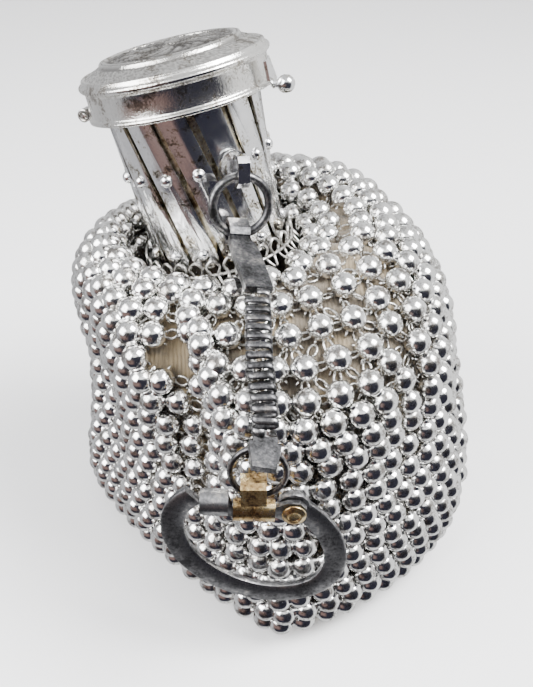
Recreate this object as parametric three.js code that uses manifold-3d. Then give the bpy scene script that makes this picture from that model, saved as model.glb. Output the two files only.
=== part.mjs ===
import * as THREE from "three";
import { mergeVertices } from "three/addons/utils/BufferGeometryUtils.js";
import Module from "manifold-3d";

// A small evening purse: a slumped pouch of round metal beads hangs from an expanding
// cylinder of riveted slats, closed by a hinged round lid. A short coil chain and an
// oval finger ring with a hinged clasp hang down its front.
// Millimetres, +Z up, the front is -Y, and the pouch stands on Z = 0.

const wasm = await Module();
wasm.setup();

// Sizes
const clearance = 0.35;

const pouch = {
  height: 76,
  left: 45,
  right: 44,
  front: 42,
  back: 46.5,
  sway: 5,
  wall: 4.2,
  foldDepth: 6,
  mouthGap: 1.6,
  around: 36,
};
// How much the crest rises or sinks round the pouch, by azimuth in degrees
const crestLift = [
  { azimuth: 0, lift: -1 },
  { azimuth: 60, lift: 2 },
  { azimuth: 95, lift: 1 },
  { azimuth: 140, lift: -5 },
  { azimuth: 185, lift: -4 },
  { azimuth: 270, lift: -5 },
];
const lining = { wall: 1 };

const gate = {
  slats: 14,
  footX: -11.9,
  footY: 10.8,
  leanBack: 7.5,
  leanLeft: 12.4,
  length: 36.3,
  topRadius: 14.95,
  midRadius: 13.9,
  lowRadius: 13.3,
  topRivet: 3.2,
  rivetStep: 15.6,
  lowRivetUp: 2.1,
  slatWidth: 5.1,
  slatThick: 0.5,
  tip: 2.9,
  firstAzimuth: 276.3,
};
// How far the gate's lower two rows of rivets are below the lid's rim
const lowRivet = gate.length - gate.lowRivetUp;
const midRivet = lowRivet - gate.rivetStep;
const rivet = { radius: 1.15, height: 0.95 };

const lid = {
  radius: 18.5,
  skirt: 7.1,
  wall: 1,
  crown: 2.3,
  medallion: 13.5,
  medallionRise: 0.7,
  hingeAzimuth: 160,
  knobAzimuth: 341,
};
const hinge = { barrel: 1.3, pin: 0.5, bore: 0.85, leafWidth: 4, knuckle: 2.4, leaf: 0.6 };
const knob = { ball: 1.7, neck: 0.7, tabWidth: 5, tabThick: 0.6, reach: 1.9, drop: 0.6 };

const hanger = {
  eye: 2.9,
  hole: 1.5,
  thick: 0.8,
  eyeDrop: -0.2,
  loopWidth: 2.2,
  loopWall: 0.65,
  loopAside: 14,
  slotHeight: 4.4,
  slack: 0.7,
};
const suspensionRing = { radius: 5.35, wire: 0.85, azimuth: 297, belowMid: 6.7, turn: 9, stand: 1.2 };

const chain = { width: 4.6, thick: 2.5, pitch: 1.8, strip: 1.25, stripThick: 0.55, turns: 15 };
const upperEnd = { width: 6, topWidth: 3.9, thick: 1.4, loopWall: 0.65, slack: 1 };
const lowerEnd = { width: 5.4, footWidth: 3.9, thick: 1.3, loopWall: 0.6, over: 3.6, slack: 1.4 };
const jumpRing = { radius: 4.6, wire: 0.6, aside: 0.7, lean: 8 };

const clasp = {
  length: 35.6,
  width: 27,
  band: 4.1,
  thick: 1.5,
  tilt: -38,
  centreX: -4,
  centreZ: 36,
  gapFrom: 97,
  gapTo: 166,
};
const lever = {
  width: 2.4,
  thick: 1,
  reach: 15.6,
  curl: 2.2,
  curlWall: 0.6,
  curlLength: 4.6,
  curlRise: 3.4,
};
const pivot = { head: 2.1, shank: 1, headThick: 0.8 };
const sleeve = {
  high: 2.2,
  deep: 1.75,
  length: 7,
  from: 3.2,
  eyeWidth: 4.3,
  eyeWall: 0.6,
  slack: 2.3,
  eyeDeep: 0.9,
};
const mouthWire = { wire: 0.4, below: 1.8 };

// Sections of the pouch, from its mouth to its base. height is a share of pouch.height,
// drift and tilt say how far the section follows the gate's foot and its lean, lift is a
// share of crestLift's height, and left to back are shares of the way from the mouth's radius to
// the pouch's half extents. The corners are superellipse exponents of the front, and wall
// is a share of pouch.wall.
const sectionColumns = [
  "height", "drift", "tilt", "lift", "left", "right", "front", "back",
  "cornerLeft", "cornerRight", "sway", "wall",
];
const sections = [
  [0.845, 1, 1, 0, 0, 0, 0, 0, 2, 2, 0, 0.45],
  [0.93, 0.85, 0.35, 0.3, 0.11, 0.09, 0.08, 0.08, 2, 2, 0, 0.45],
  [0.985, 0.6, 0.08, 0.6, 0.33, 0.34, 0.2, 0.28, 2, 2, 0, 0.45],
  [0.967, 0.35, 0, 0.85, 0.63, 0.53, 0.5, 0.62, 2, 2, 0.1, 0.45],
  [0.885, 0.15, 0, 0.5, 0.8, 0.64, 0.78, 0.84, 1.85, 2, 0.2, 0.7],
  [0.77, 0, 0, 0.2, 0.864, 0.71, 0.96, 0.93, 1.7, 1.85, 0.35, 0.9],
  [0.6, 0, 0, 0, 0.836, 0.81, 1, 0.97, 1.55, 1.7, 0.5, 1],
  [0.4, 0, 0, 0, 0.886, 0.93, 1, 1, 1.45, 1.6, 0.7, 1],
  [0.2, 0, 0, 0, 0.98, 1, 1, 1, 1.35, 1.45, 1, 1],
  [0.08, 0, 0, 0, 0.97, 0.95, 0.96, 0.94, 1.25, 1.4, 1, 1],
  [0.02, 0, 0, 0, 0.85, 0.85, 0.85, 0.82, 1.25, 1.35, 1, 1],
  [0, 0, 0, 0, 0.74, 0.74, 0.73, 0.7, 1.25, 1.35, 1, 1],
].map((row) => Object.fromEntries(sectionColumns.map((name, i) => [name, row[i]])));
const lastSection = sections.length - 1;

// Folds of the pouch: azimuth and half width in degrees, depth as a share of
// pouch.foldDepth, and the sections between which the fold runs.
const folds = [
  { azimuth: 240, spread: 13, depth: 1, from: 2.2, to: 7.2 },
  { azimuth: 204, spread: 15, depth: 0.35, from: 3, to: 9 },
  { azimuth: 316, spread: 13, depth: 0.3, from: 2.5, to: 7 },
  { azimuth: 350, spread: 12, depth: 0.35, from: 3.5, to: 9.5 },
  { azimuth: 28, spread: 12, depth: 0.45, from: 2.5, to: 8 },
  { azimuth: 74, spread: 13, depth: 0.5, from: 2.5, to: 8.5 },
  { azimuth: 122, spread: 13, depth: 0.55, from: 2.5, to: 9 },
  { azimuth: 163, spread: 11, depth: 0.4, from: 3, to: 8 },
];

// Where the chain lies on the pouch: azimuth in degrees, section number, and how far in
// millimetres it stands off the beads.
const chainRoute = [
  { azimuth: 274, section: 2.5, rise: 0.8 },
  { azimuth: 271, section: 3.1, rise: 0.4 },
  { azimuth: 268.5, section: 3.8, rise: 0.4 },
  { azimuth: 267, section: 4.6, rise: 1 },
  { azimuth: 266, section: 5.2, rise: 2.7 },
];

// Colours of the metal and cloth
const finish = (color, roughness, metalness) =>
  new THREE.MeshStandardMaterial({ color, roughness, metalness });
const silver = finish(0xc9c9c6, 0.22, 1);
const beadSilver = finish(0xb9b8b2, 0.3, 1);
const darkSilver = finish(0x6d6b68, 0.4, 1);
const brass = finish(0xb08d4c, 0.35, 1);
const cloth = finish(0x8d8371, 0.9, 0);

// General helpers
const radians = THREE.MathUtils.degToRad;
const V = (x, y, z) => new THREE.Vector3(x, y, z);

function solid(geometry, matrix) {
  const g = geometry.clone();
  g.deleteAttribute("normal");
  g.deleteAttribute("uv");
  if (matrix) g.applyMatrix4(matrix);
  const merged = mergeVertices(g, 1e-4);
  return new wasm.Manifold(
    new wasm.Mesh({
      numProp: 3,
      vertProperties: new Float32Array(merged.attributes.position.array),
      triVerts: new Uint32Array(merged.index.array),
    }),
  );
}

function toGeometry(body) {
  const mesh = body.getMesh();
  const g = new THREE.BufferGeometry();
  g.setAttribute("position", new THREE.BufferAttribute(mesh.vertProperties, 3));
  g.setIndex(new THREE.BufferAttribute(mesh.triVerts, 1));
  g.computeVertexNormals();
  return g;
}

const join = (...bodies) => bodies.reduce((a, b) => a.add(b));

// A matrix that takes local X, Y, Z to the given directions at a place.
function placed(origin, x, y, z) {
  return new THREE.Matrix4().makeBasis(x, y, z).setPosition(origin);
}

// A frame with Y along up and Z as near to out as it can be.
function facing(origin, up, out) {
  const across = up.clone().cross(out).normalize();
  return placed(origin, across, up, across.clone().cross(up));
}

// A closed surface through rings of equal length, capped at both ends.
function loft(rings, closedPath = false) {
  const n = rings[0].length;
  const positions = rings.flat().flatMap((p) => [p.x, p.y, p.z]);
  const index = [];
  const spans = closedPath ? rings.length : rings.length - 1;
  for (let r = 0; r < spans; r++) {
    const next = (r + 1) % rings.length;
    for (let i = 0; i < n; i++) {
      const j = (i + 1) % n;
      index.push(r * n + i, r * n + j, next * n + j);
      index.push(r * n + i, next * n + j, next * n + i);
    }
  }
  if (!closedPath) {
    const last = (rings.length - 1) * n;
    for (let i = 1; i < n - 1; i++) {
      index.push(0, i + 1, i);
      index.push(last, last + i, last + i + 1);
    }
  }
  const g = new THREE.BufferGeometry();
  g.setAttribute("position", new THREE.BufferAttribute(new Float32Array(positions), 3));
  g.setIndex(outward(positions, index));
  return g;
}

// The index list, turned round if its faces point inwards.
function outward(positions, index) {
  const at = (i) => V(positions[3 * i], positions[3 * i + 1], positions[3 * i + 2]);
  let volume = 0;
  for (let i = 0; i < index.length; i += 3)
    volume += at(index[i]).dot(at(index[i + 1]).cross(at(index[i + 2])));
  if (volume >= 0) return index;
  return index.flatMap((v, i) => (i % 3 ? [] : [v, index[i + 2], index[i + 1]]));
}

// A closed profile of [radius, height] points turned round Z.
function lathe(points, sides) {
  const profile = points.map(([r, z]) => new THREE.Vector2(r, z));
  const g = new THREE.LatheGeometry(profile, sides);
  g.rotateX(Math.PI / 2);
  g.setIndex(outward(g.attributes.position.array, [...g.index.array]));
  return g;
}

function outline(points, holes = []) {
  const shape = new THREE.Shape(points.map(([x, y]) => new THREE.Vector2(x, y)));
  shape.holes = holes.map((hole) => new THREE.Path(hole.map(([x, y]) => new THREE.Vector2(x, y))));
  return shape;
}

function plate(points, depth, holes = []) {
  return new THREE.ExtrudeGeometry(outline(points, holes), { depth, bevelEnabled: false });
}

function circlePoints(radius, sides, x = 0, y = 0) {
  return Array.from({ length: sides }, (_, i) => {
    const a = (2 * Math.PI * i) / sides;
    return [x + radius * Math.cos(a), y + radius * Math.sin(a)];
  });
}

// A flat strap bent into a loop: its hole runs along local X, centred on the origin.
function strapLoop(width, slotHeight, slotDepth, wall) {
  const ring = (h, d) => {
    const r = Math.min(h, d) * 0.22;
    return [
      [-h / 2 + r, -d / 2], [h / 2 - r, -d / 2], [h / 2, -d / 2 + r], [h / 2, d / 2 - r],
      [h / 2 - r, d / 2], [-h / 2 + r, d / 2], [-h / 2, d / 2 - r], [-h / 2, -d / 2 + r],
    ];
  };
  const outer = ring(slotHeight + 2 * wall, slotDepth + 2 * wall);
  const g = plate(outer, width, [ring(slotHeight, slotDepth)]);
  g.translate(0, 0, -width / 2);
  g.applyMatrix4(placed(V(0, 0, 0), V(0, 1, 0), V(0, 0, 1), V(1, 0, 0)));
  return g;
}

// The gate's place: its foot stands in the pouch's mouth and its axis leans.
const mouthHeight = sections[0].height * pouch.height;
const gateFoot = V(gate.footX, gate.footY, mouthHeight + 2.5);
const gateAxis = V(
  -Math.tan(radians(gate.leanLeft)),
  Math.tan(radians(gate.leanBack)),
  1,
).normalize();
const gateTurn = new THREE.Quaternion().setFromUnitVectors(V(0, 0, 1), gateAxis);
const gateTop = gateFoot.clone().addScaledVector(gateAxis, gate.length);
const gateFrame = new THREE.Matrix4().compose(gateTop, gateTurn, V(1, 1, 1));
const mouthRadius = gate.lowRadius + gate.slatThick + rivet.height + pouch.mouthGap;

// The gate's own frame: Z = 0 is the lid's rim, and below is measured down from it.
function gateRadius(below) {
  const upper = below < midRivet;
  const [a, b] = upper ? [gate.topRivet, midRivet] : [midRivet, lowRivet];
  const [ra, rb] = upper ? [gate.topRadius, gate.midRadius] : [gate.midRadius, gate.lowRadius];
  return ra + ((rb - ra) * (below - a)) / (b - a);
}

function onGate(azimuth, below, out) {
  const r = gateRadius(below) + out;
  const a = radians(azimuth);
  return V(r * Math.cos(a), r * Math.sin(a), -below);
}

// A frame on the gate: local X runs round it, Y up it and Z out of it.
function gatePlace(azimuth, below, out) {
  const a = radians(azimuth);
  const round = V(-Math.sin(a), Math.cos(a), 0);
  const away = V(Math.cos(a), Math.sin(a), 0);
  return placed(onGate(azimuth, below, out), round, V(0, 0, 1), away);
}

// The pouch's surface
function sectionAt(t) {
  const k = Math.min(Math.floor(t), lastSection - 1);
  const f = t - k;
  const pick = (i) => sections[Math.min(Math.max(i, 0), lastSection)];
  const [a, b, c, d] = [pick(k - 1), pick(k), pick(k + 1), pick(k + 2)];
  return Object.fromEntries(
    sectionColumns.map((name) => [
      name,
      b[name] +
        0.5 * f * (c[name] - a[name] +
          f * (2 * a[name] - 5 * b[name] + 4 * c[name] - d[name] +
            f * (3 * (b[name] - c[name]) + d[name] - a[name]))),
    ]),
  );
}

function foldDepth(azimuth, t) {
  let depth = 0;
  for (const fold of folds) {
    const off = Math.abs(((azimuth - fold.azimuth + 540) % 360) - 180) / fold.spread;
    const along = (t - fold.from) / (fold.to - fold.from);
    if (off < 1 && along > 0 && along < 1)
      depth += fold.depth * Math.cos((off * Math.PI) / 2) ** 2 * Math.sin(along * Math.PI);
  }
  return depth * pouch.foldDepth;
}

function crestLiftAt(azimuth) {
  const a = ((azimuth % 360) + 360) % 360;
  const k = crestLift.findLastIndex((row) => row.azimuth <= a);
  const [from, to] = [crestLift[k], crestLift[(k + 1) % crestLift.length]];
  const span = (to.azimuth - from.azimuth + 360) % 360;
  const f = (1 - Math.cos((Math.PI * (a - from.azimuth)) / span)) / 2;
  return from.lift + f * (to.lift - from.lift);
}

function pouchPoint(azimuth, t) {
  const s = sectionAt(t);
  const a = radians(azimuth);
  const [c, q] = [Math.cos(a), Math.sin(a)];
  const front = c < 0 ? s.cornerLeft : s.cornerRight;
  const power = 2 / (q < 0 ? front : 2);
  const reach = (share, full) => mouthRadius + share * (full - mouthRadius);
  const halfX = c < 0 ? reach(s.left, pouch.left) : reach(s.right, pouch.right);
  const halfY = q < 0 ? reach(s.front, pouch.front) : reach(s.back, pouch.back);
  let dx = halfX * Math.sign(c) * Math.abs(c) ** power;
  let dy = halfY * Math.sign(q) * Math.abs(q) ** power;
  const pull = 1 - foldDepth(azimuth, t) / Math.hypot(dx, dy);
  dx *= pull;
  dy *= pull;
  const slope = -(gateAxis.x * dx + gateAxis.y * dy) / gateAxis.z;
  return V(
    s.drift * gate.footX + dx,
    s.drift * gate.footY + dy - (s.sway * pouch.sway * dx) / halfX,
    s.height * pouch.height + s.tilt * slope + s.lift * crestLiftAt(azimuth),
  );
}

// The surface moved inwards by a depth, along the normal within its own upright plane.
function pouchInside(azimuth, t, depth) {
  const step = 0.15;
  const a = pouchPoint(azimuth, Math.max(t - step, 0));
  const b = pouchPoint(azimuth, Math.min(t + step, lastSection));
  const p = pouchPoint(azimuth, t);
  const out = V(Math.cos(radians(azimuth)), Math.sin(radians(azimuth)), 0);
  const run = b.clone().sub(a);
  const along = V(run.dot(out), run.z, 0).normalize();
  return p.add(out.multiplyScalar(along.y * depth)).add(V(0, 0, -along.x * depth));
}

function pouchNormal(azimuth, t) {
  const round = pouchPoint(azimuth + 1, t).sub(pouchPoint(azimuth - 1, t));
  const down = pouchPoint(azimuth, t + 0.1).sub(pouchPoint(azimuth, t - 0.1));
  return down.cross(round).normalize();
}

// An open vessel: rings of the outer skin down to the base, and of the inner skin.
function vessel(outerRings, innerRings) {
  const n = outerRings[0].length;
  const centre = (ring) => V(0, 0, ring[0].z);
  const points = [...outerRings.flat(), ...innerRings.flat()];
  const innerStart = outerRings.length * n;
  const outerBase = points.push(centre(outerRings.at(-1))) - 1;
  const innerBase = points.push(centre(innerRings.at(-1))) - 1;
  const index = [];
  const quads = (a, b, flip) => {
    for (let i = 0; i < n; i++) {
      const j = (i + 1) % n;
      const faces = [a + i, b + i, b + j, a + i, b + j, a + j];
      index.push(...(flip ? faces.reverse() : faces));
    }
  };
  outerRings.slice(1).forEach((_, r) => quads(r * n, (r + 1) * n, false));
  innerRings.slice(1).forEach((_, r) => quads(innerStart + r * n, innerStart + (r + 1) * n, true));
  quads(0, innerStart, true);
  const outerLast = (outerRings.length - 1) * n;
  const innerLast = innerStart + (innerRings.length - 1) * n;
  for (let i = 0; i < n; i++) {
    const j = (i + 1) % n;
    index.push(outerLast + i, outerBase, outerLast + j);
    index.push(innerLast + j, innerBase, innerLast + i);
  }
  const positions = points.flatMap((p) => [p.x, p.y, p.z]);
  const g = new THREE.BufferGeometry();
  g.setAttribute("position", new THREE.BufferAttribute(new Float32Array(positions), 3));
  g.setIndex(outward(positions, index));
  return g;
}

const azimuths = (count) => Array.from({ length: count }, (_, i) => (360 * i) / count);

function meshPouch() {
  const stations = [0, 1, 1.5, 2, 2.5, 3, 3.5, 4, 5, 6, 7, 8, 9, 10, 11];
  const ring = (t, depth) => azimuths(pouch.around).map((a) => pouchInside(a, t, depth));
  const inner = stations.map((t) => ring(t, sectionAt(t).wall * pouch.wall));
  const floor = pouch.wall;
  inner.forEach((points) => points.forEach((p) => (p.z = Math.max(p.z, floor))));
  inner.at(-1).forEach((p) => (p.z = floor));
  return vessel(stations.map((t) => ring(t, 0)), inner);
}

// The lining stands inside the bead mesh, from the shoulder down to its base.
function clothLining() {
  const stations = [4, 5, 6, 7, 8, 9];
  const skin = (extra) => {
    const depth = (t) => sectionAt(t).wall * pouch.wall + 1.8 * clearance + extra;
    const floor = depth(lastSection);
    const rings = stations.map((t) =>
      azimuths(pouch.around).map((a) => pouchInside(a, t, depth(t))),
    );
    const base = rings.at(-1).map((p) => V(p.x * 0.8, p.y * 0.8, floor));
    const all = [...rings, base];
    all.forEach((points) => points.forEach((p) => (p.z = Math.max(p.z, floor))));
    return all;
  };
  return vessel(skin(0), skin(lining.wall));
}

// The gate of crossed slats
function slatPath(index, side) {
  const pitch = 360 / gate.slats;
  const middle = gate.firstAzimuth + index * pitch;
  const half = lowRivet - midRivet;
  return (below) => middle + (side * 0.5 * pitch * (below - midRivet)) / half;
}

function slat(index, side) {
  const path = slatPath(index, side);
  const layer = side > 0 ? 0 : -gate.slatThick - clearance;
  const [top, low] = [gate.topRivet - gate.tip + 1, lowRivet + gate.tip];
  const half = gate.slatWidth / 2;
  const rows = [
    [top, 0.7], [top + 0.25 * half, 1], [midRivet, 1], [low - 0.8 * half, 1],
    [low - 0.25 * half, 0.68], [low, 0.2],
  ];
  const rings = rows.map(([below, share]) => {
    const turn = (half * share * 180) / (Math.PI * gateRadius(below));
    const across = [-turn, 0, turn];
    const at = (offset, out) => onGate(path(below) + offset, below, out);
    return [
      ...across.map((offset) => at(offset, layer + gate.slatThick)),
      ...across.toReversed().map((offset) => at(offset, layer)),
    ];
  });
  return solid(loft(rings));
}

function rivetHead() {
  const { radius: r, height: h } = rivet;
  return lathe([[0, -0.15], [r, -0.15], [r, 0.3 * h], [0.68 * r, 0.8 * h], [0, h]], 7);
}

function outerSlat(index) {
  const path = slatPath(index, 1);
  const rivets = [midRivet, lowRivet].filter(
    (below) => index !== eyeSlat || below !== midRivet,
  );
  const heads = rivets.map((below) =>
    solid(rivetHead(), gatePlace(path(below), below, gate.slatThick)),
  );
  return toGeometry(join(slat(index, 1), ...heads));
}

// The slat that carries the hanger's eye instead of its middle rivet
const eyeSlat = 1;

// The lid, in the gate's frame
function lidShell() {
  const { radius: R, skirt, wall, crown, medallion: m, medallionRise: rise } = lid;
  const bead = 0.6 * wall;
  return lathe(
    [
      [0, crown + rise], [m - 1, crown + 0.8 * rise], [m, crown + 0.3 * rise],
      [m + 0.2, crown - 0.6], [R - 1.6, 0.5], [R - 0.5, 0.4], [R, -0.6], [R - 0.3, -1.7],
      [R - bead - 0.3, -2.1], [R - bead - 0.3, -skirt + 1.1], [R - 0.25, -skirt + 0.8],
      [R - 0.25, -skirt], [R - bead - wall, -skirt], [R - bead - wall, -1], [m, crown - 1.6],
      [0, crown - 1.4],
    ],
    30,
  );
}

const hingeOut = lid.radius + hinge.barrel + clearance - 0.25;
const hingeBelow = lid.skirt - 0.4;

// The hinge's frame: local X along the pin, Y up the gate, Z away from the gate.
function hingePlace() {
  const a = radians(lid.hingeAzimuth);
  const round = V(-Math.sin(a), Math.cos(a), 0);
  const away = V(Math.cos(a), Math.sin(a), 0);
  return placed(away.clone().multiplyScalar(hingeOut).setZ(-hingeBelow), round, V(0, 0, 1), away);
}

function barrel(radius, length, centre = 0, sides = 12) {
  const g = new THREE.CylinderGeometry(radius, radius, length, sides);
  g.rotateZ(Math.PI / 2);
  g.translate(centre, 0, 0);
  return g;
}

const knuckleCentre = hinge.leafWidth / 2 + clearance + hinge.knuckle / 2;

function lidWithKnuckles() {
  const place = hingePlace();
  const skirtOut = lid.radius - 0.6 * lid.wall - 0.3;
  let body = solid(lidShell());
  for (const side of [-1, 1]) {
    const web = new THREE.BoxGeometry(hinge.knuckle, 2 * hinge.barrel, hingeOut - skirtOut + 0.4);
    web.translate(side * knuckleCentre, 0.3, (skirtOut - hingeOut - 0.4) / 2);
    const knuckle = join(
      solid(barrel(hinge.barrel, hinge.knuckle, side * knuckleCentre), place),
      solid(web, place),
    );
    const bore = solid(barrel(hinge.bore, hinge.knuckle + 1, side * knuckleCentre), place);
    body = body.add(knuckle).subtract(bore);
  }
  return toGeometry(body);
}

// The leaf runs up between the gate and the lid's skirt, and turns out under the skirt.
function hingeLeaf() {
  const place = hingePlace();
  const pinLength = 2 * knuckleCentre + hinge.knuckle;
  const leafOut = gateRadius(gate.topRivet) + gate.slatThick + clearance;
  const underSkirt = lid.skirt + clearance - hingeBelow;
  const stand = new THREE.BoxGeometry(hinge.leafWidth, 5, hinge.leaf);
  stand.translate(0, -underSkirt - hinge.leaf + 2.5, leafOut + hinge.leaf / 2 - hingeOut);
  const reach = hingeOut - leafOut;
  const arm = new THREE.BoxGeometry(hinge.leafWidth, hinge.leaf, reach);
  arm.translate(0, -underSkirt - hinge.leaf / 2, -reach / 2);
  return toGeometry(
    join(
      solid(stand, place),
      solid(arm, place),
      solid(barrel(hinge.barrel, hinge.leafWidth), place),
      solid(barrel(hinge.pin, pinLength, 0, 8), place),
    ),
  );
}

function thumbKnob() {
  const a = radians(lid.knobAzimuth);
  const away = V(Math.cos(a), Math.sin(a), 0);
  const round = V(-Math.sin(a), Math.cos(a), 0);
  const tabOut = lid.radius + clearance;
  const place = placed(away.clone().multiplyScalar(tabOut), round, V(0, 0, 1), away);
  const half = knob.tabWidth / 2;
  const foot = -lid.skirt - knob.drop;
  const tab = plate(
    [[-half, -2.4], [-0.2 * half, -1.8], [half * 0.5, -lid.skirt + 1], [0.5, foot], [-0.5, foot],
      [-half, -lid.skirt + 1.2]],
    knob.tabThick,
  );
  const ball = new THREE.SphereGeometry(knob.ball, 12, 8);
  ball.rotateX(Math.PI / 2);
  ball.translate(0, foot + 0.4, knob.tabThick + knob.reach);
  const neck = new THREE.CylinderGeometry(knob.neck, knob.neck, knob.reach, 8);
  neck.rotateX(Math.PI / 2);
  neck.translate(0, foot + 0.4 + knob.neck * 0.4, knob.tabThick + knob.reach / 2 - 0.1);
  return toGeometry(join(solid(tab, place), solid(neck, place), solid(ball, place)));
}

// The hanger: an eye flat on its slat, and a strap loop that holds the ring's wire.
const ringOut =
  gate.slatThick + rivet.height + clearance + suspensionRing.wire + suspensionRing.stand;
const suspensionBelow = midRivet + suspensionRing.belowMid;
const suspensionPlace = gatePlace(suspensionRing.azimuth, suspensionBelow, ringOut).multiply(
  new THREE.Matrix4().makeRotationY(-radians(suspensionRing.turn)),
);

function hangerEye() {
  const eyeBelow = midRivet + hanger.eyeDrop;
  const eyePlace = gatePlace(slatPath(eyeSlat, 1)(eyeBelow), eyeBelow, gate.slatThick + clearance);
  const eye = plate(circlePoints(hanger.eye, 12), hanger.thick, [circlePoints(hanger.hole, 10)]);
  const slotDepth = 2 * suspensionRing.wire + 2 * clearance + hanger.slack;
  const loop = strapLoop(hanger.loopWidth, hanger.slotHeight, slotDepth, hanger.loopWall);
  const above = hanger.slotHeight / 2 - suspensionRing.wire - clearance;
  loop.translate(0, suspensionRing.radius + above, 0);
  loop.rotateZ(-radians(hanger.loopAside));
  return toGeometry(join(solid(eye, eyePlace), solid(loop, suspensionPlace)));
}

function ringGeometry(radius, wire, sides, around) {
  return new THREE.TorusGeometry(radius, wire, sides, around);
}

// The chain's line: on the pouch, half its own thickness and a clearance above it.
const chainCurve = new THREE.CatmullRomCurve3(
  chainRoute.map(({ azimuth, section, rise }) =>
    pouchPoint(azimuth, section).addScaledVector(
      pouchNormal(azimuth, section),
      chain.thick / 2 + clearance + rise,
    ),
  ),
);
const chainLength = chain.turns * chain.pitch;
const chainScale = chainLength / chainCurve.getLength();
const chainNormals = new THREE.CatmullRomCurve3(
  chainRoute.map(({ azimuth, section }) => pouchNormal(azimuth, section)),
);

// A frame on the chain: X across it, Y up it and Z out of the pouch.
function chainPlace(share) {
  const at = Math.min(share * chainScale, 1);
  const origin = chainCurve.getPointAt(at);
  const beyond = share * chainScale - at;
  const down = chainCurve.getTangentAt(at);
  origin.addScaledVector(down, beyond * chainCurve.getLength());
  return facing(origin, down.clone().negate(), chainNormals.getPoint(at));
}

// One flat strip wound into a coil of oblong turns.
function coilChain() {
  const perTurn = 8;
  const corners = [
    [0.3, 1], [0.9, 0.75], [0.9, -0.75], [0.3, -1], [-0.3, -1], [-0.9, -0.75], [-0.9, 0.75], [-0.3, 1],
  ];
  const [w, d] = [chain.width / 2, chain.thick / 2];
  const rings = [];
  const count = (chain.turns - 1) * perTurn;
  for (let i = 0; i <= count; i++) {
    const share = (i / perTurn + 0.5) / chain.turns;
    const m = chainPlace(share);
    const [cx, cz] = corners[i % perTurn];
    const half = chain.strip / 2;
    const inset = 1 - chain.stripThick / d;
    const inX = 1 - chain.stripThick / w;
    const at = (sx, sz, y) => V(cx * w * sx, y, cz * d * sz).applyMatrix4(m);
    rings.push([at(1, 1, half), at(1, 1, -half), at(inX, inset, -half), at(inX, inset, half)]);
  }
  return toGeometry(solid(loft(rings)));
}

// The point of a ring's wire nearest to a place, and a frame there with Y along the chain.
function nearestOnRing(ringFrame, radius, place) {
  const toward = place.clone().applyMatrix4(ringFrame.clone().invert()).setZ(0);
  return toward.setLength(radius).applyMatrix4(ringFrame);
}

function endPlace(upper, lower, out, origin) {
  return facing(origin, upper.clone().sub(lower).normalize(), out);
}

function upperChainEnd() {
  const ringFrame = gateFrame.clone().multiply(suspensionPlace);
  const start = V(0, 0, 0).applyMatrix4(chainPlace(0));
  const ringFoot = nearestOnRing(ringFrame, suspensionRing.radius, start);
  const out = V(0, 0, 1).transformDirection(ringFrame);
  const place = endPlace(ringFoot, start, out, ringFoot);
  const slot = 2 * suspensionRing.wire + 2 * clearance;
  const slotDepth = slot + 1.5 * clearance;
  const loop = strapLoop(upperEnd.topWidth, slot + upperEnd.slack, slotDepth, upperEnd.loopWall);
  loop.translate(0, upperEnd.slack / 2, 0);
  const reach = ringFoot.distanceTo(start) - 0.2;
  const [w, t] = [upperEnd.width / 2, upperEnd.topWidth / 2];
  const top = -slot / 2 - 0.3;
  const body = plate(
    [[-t, top], [t, top], [t, top - 1.6], [w, top - 3.4], [w * 0.96, -reach], [-w * 0.7, -reach],
      [-w * 0.8, top - 3]],
    upperEnd.thick,
  );
  body.translate(0, 0, -upperEnd.thick / 2);
  return toGeometry(join(solid(loop, place), solid(body, place)));
}

// The clasp's plane stands upright in front of the pouch. Local X is +X, Y is +Z.
const claspOut = pouch.front + clearance + clasp.thick / 2 + 0.75;
const claspPlace = placed(
  V(clasp.centreX, -claspOut, clasp.centreZ),
  V(1, 0, 0),
  V(0, 0, 1),
  V(0, -1, 0),
);
const claspTurn = new THREE.Matrix4().makeRotationZ(radians(clasp.tilt));

function claspPoint(angle, inset) {
  const [a, b] = [clasp.length / 2 - inset, clasp.width / 2 - inset];
  return V(a * Math.cos(radians(angle)), b * Math.sin(radians(angle)), 0).applyMatrix4(claspTurn);
}

const pivotAt = claspPoint(clasp.gapFrom - 5, clasp.band / 2);
const leverTip = claspPoint(clasp.gapTo, clasp.band);
const leverDirection = leverTip.clone().sub(pivotAt).normalize();
const leverLayer = clasp.thick / 2 + clearance;

function fingerRing() {
  const steps = 36;
  const span = clasp.gapFrom + 360 - clasp.gapTo;
  const rings = [];
  for (let i = 0; i <= steps; i++) {
    const angle = clasp.gapTo + (span * i) / steps;
    const [outer, inner] = [claspPoint(angle, 0), claspPoint(angle, clasp.band)];
    const [h, bevel] = [clasp.thick / 2, 0.25];
    const mix = (f, z) => outer.clone().lerp(inner, f).setZ(z);
    rings.push([
      mix(0, -h + bevel), mix(0, h - bevel), mix(0.12, h), mix(0.88, h), mix(1, h - bevel),
      mix(1, -h + bevel), mix(0.88, -h), mix(0.12, -h),
    ]);
  }
  const band = solid(loft(rings));
  const lug = plate(circlePoints(pivot.head + 0.7, 12, pivotAt.x, pivotAt.y), clasp.thick);
  lug.translate(0, 0, -clasp.thick / 2);
  const hole = plate(circlePoints(pivot.shank + clearance, 10, pivotAt.x, pivotAt.y), 4);
  hole.translate(0, 0, -2);
  return toGeometry(join(band, solid(lug)).subtract(solid(hole)));
}

// The lever's frame: origin at the pivot, X towards its tip, in its own layer.
const leverPlace = placed(
  pivotAt.clone().setZ(leverLayer),
  leverDirection,
  V(0, 0, 1).cross(leverDirection),
  V(0, 0, 1),
);

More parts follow.
